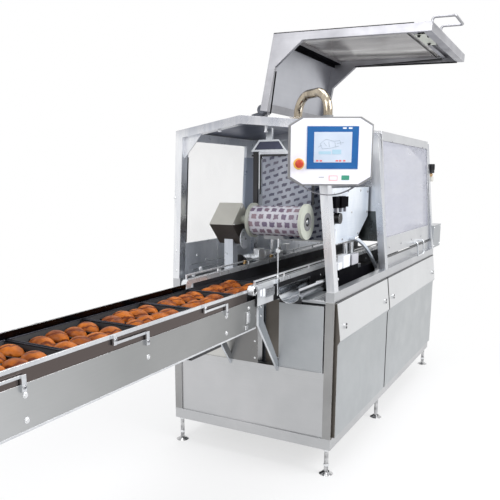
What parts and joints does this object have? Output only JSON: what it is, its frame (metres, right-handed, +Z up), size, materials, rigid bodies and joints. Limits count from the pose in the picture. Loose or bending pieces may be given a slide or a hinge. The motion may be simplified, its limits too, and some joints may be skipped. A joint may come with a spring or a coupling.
{
  "type": "tray sealer",
  "caption": "Tray sealing machine with hinged guard hoods, film reel, swivelling control panel and a belt conveyor bringing trays in.",
  "frame": {"origin": "on the floor, under the centre of the operator-side levelling foot at the infeed end", "axes": "+X the way the trays travel, +Y from the operator side to the far side, +Z up"},
  "size_m": [5.331, 1.5605, 2.4216],
  "materials": {
    "stainless": "fine brushed sheet",
    "cover_steel": "bright brushed sheet",
    "polished_steel": "satin to bright polish",
    "clear_plastic": "clear guard sheet",
    "belt": "dark conveyor belt",
    "tray_steel": "black baking trays",
    "film": "printed film",
    "cream_plastic": "cream reel discs",
    "drive_paint": "beige grey housing",
    "black_plastic": "black",
    "panel_beige": "light grey housing",
    "panel_white": "white front plate",
    "screen_blue": "blue bezel",
    "stop_red": "red button"
  },
  "bodies": {
    "machine_frame": {"air_regulator": "black_plastic", "base_frame": "stainless", "cabinet_deck": "stainless", "cabinet_posts": "stainless", "control_arm": "polished_steel", "conveyor_belt": "belt", "conveyor_frame": "stainless", "conveyor_pulleys": "polished_steel", "conveyor_stand": "stainless", "far_guard_frames": "polished_steel", "far_guard_windows": "clear_plastic", "far_side_panels": "stainless", "film_drive_box": "drive_paint", "film_drive_column": "stainless", "film_web": "film", "guide_rails": "polished_steel", "hood_hinges": "polished_steel", "infeed_box": "stainless", "infeed_cover": "cover_steel", "infeed_cover_plates": "stainless", "infeed_end_panel": "stainless", "infeed_portal": "polished_steel", "levelling_feet": "polished_steel", "middle_portal": "polished_steel", "outfeed_box": "stainless", "outfeed_cover": "cover_steel", "outfeed_end_panel": "stainless", "outfeed_portal": "polished_steel", "ridge_beams": "polished_steel", "roof_panels": "polished_steel", "scrap_chute": "polished_steel", "station_base": "black_plastic", "station_columns": "polished_steel", "station_head": "stainless", "station_plate": "stainless", "top_rails": "cover_steel", "transport_bed": "belt", "transport_rails": "polished_steel", "transport_struts": "stainless", "tray_sensor": "polished_steel", "trays": "tray_steel", "web_guide": "polished_steel", "web_roller": "polished_steel"},
    "infeed_hood": {"infeed_hood_frame": "polished_steel", "infeed_hood_roof": "polished_steel", "infeed_hood_window": "clear_plastic", "infeed_hood_handle": "polished_steel"},
    "outfeed_hood": {"outfeed_hood_frame": "polished_steel", "outfeed_hood_roof": "polished_steel", "outfeed_hood_window": "clear_plastic", "outfeed_hood_handle": "polished_steel"},
    "film_reel": {"film_roll": "film", "reel_core": "cream_plastic"},
    "control_panel": {"panel_housing": "panel_beige", "panel_plate": "panel_white", "panel_screen": "screen_blue", "emergency_stop": "stop_red", "panel_bow": "polished_steel"}
  },
  "joints": [
    {"name": "infeed_hood_hinge", "type": "hinge", "parent": "machine_frame", "child": "infeed_hood", "pos_m": [0.487, 0.47, 2.006], "axis": [1, 0, 0], "range_deg": [0, 83.5]},
    {"name": "outfeed_hood_hinge", "type": "hinge", "parent": "machine_frame", "child": "outfeed_hood", "pos_m": [1.7, 0.47, 2.006], "axis": [1, 0, 0], "range_deg": [-83.5, 0]},
    {"name": "film_reel_spin", "type": "hinge", "parent": "machine_frame", "child": "film_reel", "pos_m": [0.22, 0.418, 1.408], "axis": [0, 1, 0], "continuous": true},
    {"name": "control_panel_swivel", "type": "hinge", "parent": "machine_frame", "child": "control_panel", "pos_m": [-0.151, -0.01, 1.957], "axis": [0, 0, 1], "range_deg": [-29, 45]}
  ]
}
